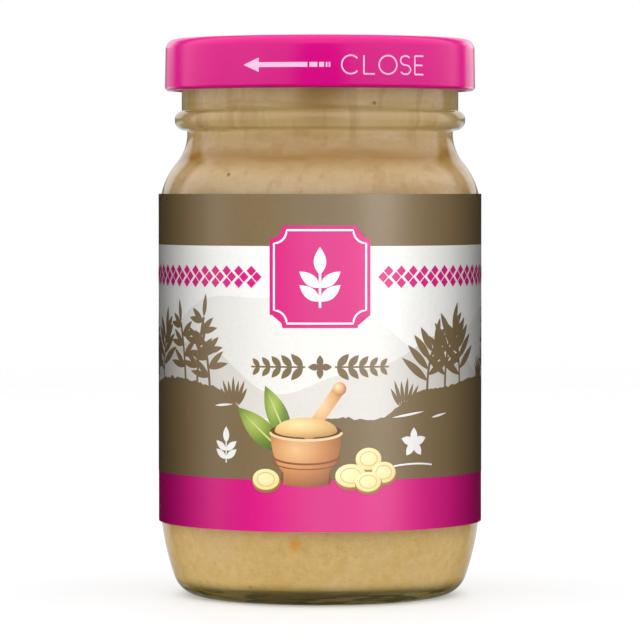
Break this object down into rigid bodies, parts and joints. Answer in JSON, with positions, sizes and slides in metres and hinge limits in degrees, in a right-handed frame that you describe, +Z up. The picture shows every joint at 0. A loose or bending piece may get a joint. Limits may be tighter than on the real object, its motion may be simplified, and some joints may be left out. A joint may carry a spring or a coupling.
{
  "type": "jar of galangal paste",
  "caption": "Clear glass food jar filled with tan spice paste, closed by a pink twist-off lug lid with a sealing ring, and wrapped in a printed paper label.",
  "frame": {"origin": "on the jar's axis at the plane it stands on", "axes": "+Z up along the jar's axis, -Y out of the middle of the label's front, +X to the right of the label"},
  "size_m": [0.0584, 0.0583, 0.1005],
  "materials": {
    "jar_glass": "clear moulded soda-lime glass",
    "paste": "moist, coarse ground spice paste",
    "label": "satin coated paper, printed brown, white and pink",
    "sealing_ring": "cream sealing compound",
    "lid": "glossy pink lacquer on tinplate"
  },
  "bodies": {
    "jar": {"jar_glass": "jar_glass", "paste": "paste", "label": "label"},
    "seal": {"sealing_ring": "sealing_ring"},
    "lid": {"lid": "lid"}
  },
  "joints": [
    {"name": "lid_rise", "type": "slide", "parent": "jar", "child": "seal", "axis": [0, 0, 1], "range_m": [0, 0.0024]},
    {"name": "lid_twist", "type": "hinge", "parent": "seal", "child": "lid", "pos_m": [0, 0, 0.0955], "axis": [0, 0, 1], "range_deg": [0, 70]}
  ],
  "couplings": [
    {"joint": "lid_rise", "follows": "lid_twist", "m_per_rad": 0.0019099}
  ]
}
